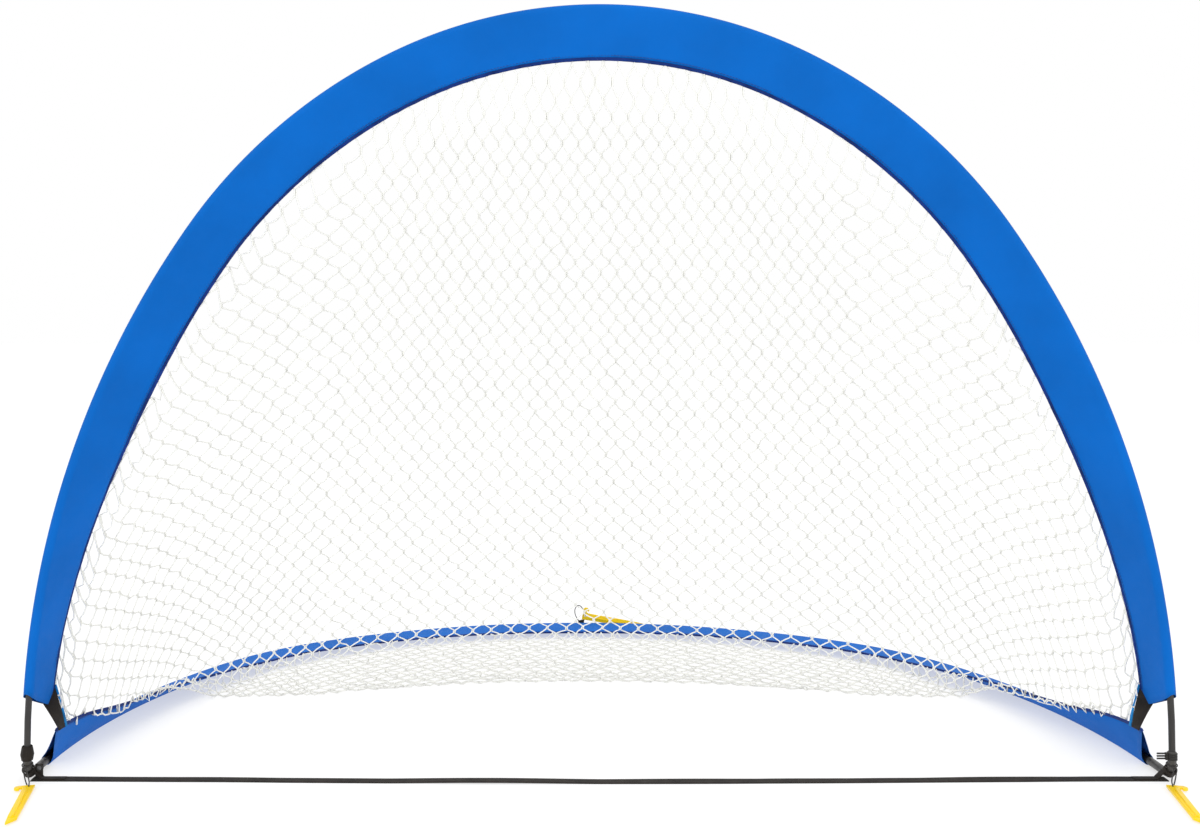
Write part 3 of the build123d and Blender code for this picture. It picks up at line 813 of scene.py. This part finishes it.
# --- Corners -----------------------------------------------------------------------------------
def ribbon(name, near, far, material, thickness, bow, samples=14, tuck=0.006):
    """A flat band between two edges, each given as a line of points, with its ends tucked in."""
    near, far = np.asarray(near), np.asarray(far)
    ahead = unit(far - near)
    near, far = near - ahead * tuck, far + ahead * tuck
    t = np.linspace(0, 1, samples)[:, None, None]
    rows = near * (1 - t) + far * t + np.array(bow) * (4 * t * (1 - t))
    down = np.gradient(rows, axis=0)
    across = np.gradient(rows, axis=1)
    normal = unit(np.cross(down, across)) * thickness / 2
    count = rows.shape[1]
    top, bottom = rows + normal, rows - normal
    ring = np.concatenate([top, bottom[:, ::-1]], axis=1)
    around = ring.shape[1]
    faces = grid_faces(samples, around, 0, closed=True)
    faces.append(tuple(range(around))[::-1])
    faces.append(tuple(range((samples - 1) * around, samples * around)))
    run = np.linspace(0, np.linalg.norm(far[0] - near[0]), samples)[:, None]
    wide = np.concatenate([np.arange(count), np.arange(count)[::-1]]) * BAND_UV_STEP
    uv = np.stack(np.broadcast_arrays(run, wide[None, :]), axis=-1).reshape(-1, 2)
    piece = new_piece(name, ring.reshape(-1, 3), faces, material, uv)
    length = np.linalg.norm(np.diff(rows, axis=0), axis=2).sum(axis=0).mean()
    width = np.linalg.norm(np.diff(rows, axis=1), axis=2).sum(axis=1).mean()
    return piece, (float(width), float(length))


def corner_lines(first, last, count, side, reach=NET_EDGE):
    """Points on the two sleeves' inner edges, between two distances from the sleeves' ends.

    A smaller reach starts the front line inside the sleeve.
    """
    along = np.linspace(first, last, count)
    depth = np.linspace(reach, NET_EDGE, count)[:, None]
    front = FRONT.edge(FRONT.inner_start + np.array([FRONT.step(d) for d in along]), depth)
    rear = REAR.edge(REAR.inner_start + np.array([REAR.step(d) for d in along]), NET_EDGE)
    for line in (front, rear):
        line[:, 0] *= side
    return front, rear


def hose_path(side):
    """The elbow's centre line: down, round the bend and back."""
    x = side * HALF_WIDTH
    turns = np.radians(np.linspace(0, 90, 19))
    centre_y, centre_z = ARCH_Y + ELBOW_RADIUS, GROUND_ROD_Z + ELBOW_RADIUS
    down = [(x, ARCH_Y, z) for z in np.linspace(FRONT_FOOT, centre_z + 0.002, 5)]
    bend = [
        (x, centre_y - ELBOW_RADIUS * math.cos(t), centre_z - ELBOW_RADIUS * math.sin(t))
        for t in turns
    ]
    back = [(x, y, GROUND_ROD_Z) for y in np.linspace(centre_y + 0.004, REAR_FOOT, 10)]
    return np.array(down + bend + back)


def make_hose(name, side):
    """A round rubber hose whose two ends taper a little."""
    path = hose_path(side)
    path = np.concatenate([path[:1], path, path[-1:]])
    path[1] = path[0] + (path[2] - path[0]) * HOSE_TAPER_SHARE
    path[-2] = path[-1] + (path[-3] - path[-1]) * HOSE_TAPER_SHARE
    radius = np.full(len(path), HOSE_RADIUS)
    radius[0] = radius[-1] = HOSE_RADIUS - HOSE_END_TAPER
    points, uv = tube_grid(path, radius, HOSE_SIDES)
    faces = grid_faces(len(path), HOSE_SIDES, 0, closed=True)
    faces.append(tuple(range(HOSE_SIDES))[::-1])
    faces.append(tuple(range((len(path) - 1) * HOSE_SIDES, len(path) * HOSE_SIDES)))
    piece = new_piece(name, points, faces, HOSE_BLACK, uv)
    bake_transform(piece)
    high = np.repeat(path[:, 2], HOSE_SIDES)
    weights = np.clip((high - HOSE_FIXED_Z) / (HOSE_TURNS_Z - HOSE_FIXED_Z), 0, 1)
    weights[np.repeat(path[:, 1], HOSE_SIDES) > HOSE_FIXED_Y] = 0
    return piece


def refined(node, name, material, bevel, smooth_angle=35):
    """A CAD piece's own shape with softened edges and a better surface."""
    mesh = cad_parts[node].data.copy()
    mesh.name = name
    work = bmesh.new()
    work.from_mesh(mesh)
    bmesh.ops.remove_doubles(work, verts=work.verts, dist=1e-6)
    bmesh.ops.dissolve_limit(
        work, angle_limit=math.radians(1), verts=work.verts, edges=work.edges
    )
    if bevel:
        least = math.radians(CREASE_ANGLE)
        inner = [e for e in work.edges if len(e.link_faces) == 2]
        sharp = [e for e in inner if e.calc_face_angle(0) > least]
        bmesh.ops.bevel(
            work, geom=sharp, offset=bevel, segments=2, profile=0.5, affect="EDGES",
            clamp_overlap=True,
        )
    bmesh.ops.triangulate(work, faces=[f for f in work.faces if len(f.verts) > 4])
    work.to_mesh(mesh)
    work.free()
    mesh.materials.clear()
    mesh.materials.append(material)
    mesh.polygons.foreach_set("use_smooth", [True] * len(mesh.polygons))
    mesh.set_sharp_from_angle(angle=math.radians(smooth_angle))
    piece = bpy.data.objects.new(name, mesh)
    bpy.context.scene.collection.objects.link(piece)
    piece.matrix_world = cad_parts[node].matrix_world.copy()
    add_box_uv(mesh)
    return piece


def add_box_uv(mesh):
    """UV in metres from the two axes that each face spans best, for the weave."""
    layer = mesh.uv_layers[0] if mesh.uv_layers else mesh.uv_layers.new(name="cloth")
    for polygon in mesh.polygons:
        n = [abs(v) for v in polygon.normal]
        skip = n.index(max(n))
        axes = [a for a in range(3) if a != skip]
        for loop in polygon.loop_indices:
            co = mesh.vertices[mesh.loops[loop].vertex_index].co
            layer.data[loop].uv = (co[axes[0]], co[axes[1]])


# --- Base strap --------------------------------------------------------------------------------
def make_base_strap():
    """The strap across the mouth: flat webbing with rolled edges, lying in a slight bow."""
    low, high = (np.array(c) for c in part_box("base_strap"))
    half_length, half_width = high[0], high[1]
    stations = 161
    thickness = high[2] - low[2]
    ring = np.array([
        (-1, 0.3), (-0.97, 0.9), (-0.6, 1), (0, 0.96), (0.6, 1), (0.97, 0.9),
        (1, 0.3), (0.97, 0.05), (0, 0), (-0.97, 0.05),
    ])
    points = []
    for x in np.linspace(-half_length, half_length, stations):
        share = x / half_length
        bow = STRAP_BOW * (1 - share * share) ** 2
        lift = max(0, noise.noise(Vector((x * 3, 5, 5)))) * STRAP_LIFT * (1 - share**4)
        twist = STRAP_TWIST * noise.noise(Vector((x * 4, 1, 8)))
        for y, z in ring:
            raised = lift + z * thickness + abs(twist) * (y + 1) * 0.01
            points.append((x, bow + y * half_width, raised))
    count = len(ring)
    faces = grid_faces(stations, count, 0, closed=True)
    faces.append(tuple(range(count))[::-1])
    faces.append(tuple(range((stations - 1) * count, stations * count)))
    run = np.linspace(0, 2 * half_length, stations)[:, None]
    uv = np.stack(np.broadcast_arrays(run, (ring[:, 0] * half_width)[None, :]), axis=-1)
    strap = new_piece("base_strap_web", points, faces, BLACK_WEB, uv.reshape(-1, 2))
    return strap, half_length, half_width


# --- Peg cords ---------------------------------------------------------------------------------
CORD_DIAMETER = 0.002
KNOT = (-0.902, -0.01838, 0.02508)
FRONT_CORD = (
    (KNOT[0] + 0.0024, KNOT[1] - 0.0022, KNOT[2] - 0.0010),
    (-0.8935, -0.0275, 0.0145),
    (-0.8875, -0.0370, 0.0096),
    (-0.8845, -0.0468, 0.0076),
    (-0.8846, -0.0464, 0.0012),
    (-0.8896, -0.0370, 0.0012),
    (-0.8980, -0.0280, 0.0085),
    (KNOT[0] - 0.0020, KNOT[1] - 0.0026, KNOT[2] - 0.0014),
)
REAR_CORD = (
    (0.0005, 0.9920, 0.0160),
    (-0.0065, 0.9920, 0.0250),
    (-0.0110, 0.9920, 0.0360),
    (-0.0110, 0.9918, 0.0480),
    (-0.0040, 0.9914, 0.0570),
    (0.0050, 0.9910, 0.0530),
    (0.0110, 0.9904, 0.0420),
    (0.0140, 0.9899, 0.0315),
    (0.0142, 0.9990, 0.0285),
    (0.0110, 0.9985, 0.0180),
    (0.0070, 0.9922, 0.0095),
)


def make_cord(name, route, body, node):
    curve = bpy.data.curves.new(name, "CURVE")
    curve.dimensions = "3D"
    curve.bevel_depth = CORD_DIAMETER / 2
    curve.bevel_resolution = 4
    curve.resolution_u = 12
    curve.use_fill_caps = True
    spline = curve.splines.new("NURBS")
    spline.points.add(len(route) - 1)
    for point, at in zip(spline.points, route):
        point.co = (*at, 1)
    spline.order_u = 3
    spline.use_endpoint_u = True
    curve.materials.append(CORD_BLACK)
    cord = bpy.data.objects.new(name, curve)
    bpy.context.scene.collection.objects.link(cord)
    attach(cord, body)
    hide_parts(node)
    return cord


def build_cords():
    mirrored = [(-x, y, z) for x, y, z in FRONT_CORD]
    make_cord("cord_loop_left", FRONT_CORD, "left_peg", "peg_cord_left")
    make_cord("cord_loop_right", mirrored, "right_peg", "peg_cord_right")
    make_cord("cord_loop_rear", REAR_CORD, "rear_peg", "peg_cord_rear")


def build_sleeves():
    front, length = make_sleeve("front_sleeve_cloth", FRONT, stations=300, seed=1.0, join=1.56)
    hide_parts("front_sleeve", "front_sleeve_leg_left", "front_sleeve_leg_right")
    rear, length = make_sleeve("rear_sleeve_cloth", REAR, stations=220, seed=4.0, join=-1)
    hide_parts("rear_sleeve", "rear_sleeve_end_left", "rear_sleeve_end_right")
    for piece in (front, rear):
        follow_fold(piece)
    for hoop, node in ((FRONT, "front_piping"), (REAR, "rear_piping")):
        tape = make_piping(f"{node}_tape", hoop, 400)
        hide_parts(node)
        seam = make_seam(node.replace("piping", "seam_stitches"), hoop, SLEEVE_REACH - SEAM_FROM_EDGE)
        for piece in (tape, seam):
            follow_fold(piece)


def build_net():
    net, surface = make_net()
    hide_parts("net")
    follow_fold(net)
    for name, side in (("left", -1), ("right", 1)):
        front, rear = corner_lines(GUSSET_WIDTH, GUSSET_WIDTH + TAPE_WIDTH, 5, side)
        bow = (-0.002 * side, 0.001, -0.003)
        tape, _ = ribbon(f"net_tape_{name}", front, rear, TAPE_BLUE, TAPE_THICKNESS, bow)
        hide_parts(f"net_binding_{name}")
        follow_fold(tape)


def build_corners():
    for name, side in (("left", -1), ("right", 1)):
        last = GUSSET_WIDTH - GUSSET_GAP
        front, rear = corner_lines(GUSSET_FIRST, last, 9, side, GUSSET_REACH)
        bow = (-0.002 * side, 0, -0.002)
        gusset, flat = ribbon(
            f"gusset_web_{name}", front, rear, BLACK_WEB, GUSSET_THICKNESS, bow
        )
        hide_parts(f"gusset_webbing_{name}")
        follow_fold(gusset)
        hose = make_hose(f"elbow_{name}", side)
        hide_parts(f"elbow_hose_{name}")


def build_strap():
    strap, half_length, half_width = make_base_strap()
    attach(strap, GROUND)
    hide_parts("base_strap")


def build_small_pieces():
    """CAD pieces whose shape is right: softened edges and their real materials."""
    plan = (
        ("strap_loop_left", GROUND, BLACK_WEB, 0.0003, "webbing"),
        ("strap_loop_right", GROUND, BLACK_WEB, 0.0003, "webbing"),
        ("corner_eyelet_left", GROUND, FITTING_BLACK, 0.0002, "fittings"),
        ("peg_hitch_left", GROUND, CORD_BLACK, 0, "peg_cord"),
        ("peg_hitch_right", GROUND, CORD_BLACK, 0, "peg_cord"),
        ("rear_loop_tab", GROUND, BLACK_WEB, 0.0003, "webbing"),
        ("corner_wrap_left", ARCH, BLACK_WEB, 0.0008, "webbing"),
        ("cable_ties_right", ARCH, FITTING_BLACK, 0.0002, "fittings"),
        ("peg_left", "left_peg", PEG_YELLOW, 0.0005, "peg_plastic"),
        ("peg_right", "right_peg", PEG_YELLOW, 0.0005, "peg_plastic"),
        ("peg_rear", "rear_peg", PEG_YELLOW, 0.0005, "peg_plastic"),
    )
    for node, body, material, bevel, slot in plan:
        piece = refined(node, f"{node}_piece", material, bevel)
        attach(piece, body)
        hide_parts(node)
    for node in ("front_rod", "rear_rod"):
        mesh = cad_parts[node].data
        for i in range(len(mesh.materials)):
            mesh.materials[i] = ROD_BLACK


# --- Stage -------------------------------------------------------------------------------------
def build_stage():
    """A white floor that is as bright, far away, as the world, so that no horizon shows."""
    shader = Shader("pale_floor", 0.8, Specular_IOR_Level=0.1)
    grey = (FLOOR_REFLECTS,) * 3 + (1,)
    shader.colour(shader.ramp(shader.noise(1.5, 2), shade(grey, 0.99), shade(grey, 1.01)))
    shader.surface.inputs["Emission Color"].default_value = (1, 1, 1, 1)
    shader.surface.inputs["Emission Strength"].default_value = WHITE * (1 - FLOOR_REFLECTS)
    size = FLOOR_HALF_SIZE
    corners = [(-size, -size, 0), (size, -size, 0), (size, size, 0), (-size, size, 0)]
    floor = new_piece("floor", corners, [(0, 1, 2, 3)], shader.material)
    world = bpy.data.worlds.new("studio")
    world.use_nodes = True
    background = world.node_tree.nodes["Background"]
    background.inputs["Color"].default_value = (1, 1, 1, 1)
    background.inputs["Strength"].default_value = WHITE
    bpy.context.scene.world = world
    for name, at, aim, size, power in LIGHTS:
        data = bpy.data.lights.new(name, "AREA")
        data.size = size
        data.energy = power
        lamp = bpy.data.objects.new(name, data)
        lamp.location = at
        lamp.rotation_euler = (Vector(aim) - Vector(at)).to_track_quat("-Z", "Y").to_euler()
        bpy.context.scene.collection.objects.link(lamp)
    bpy.context.scene.view_settings.view_transform = "Standard"


make_camera()
build_cords()
build_sleeves()
build_net()
build_corners()
build_strap()
build_small_pieces()
build_stage()
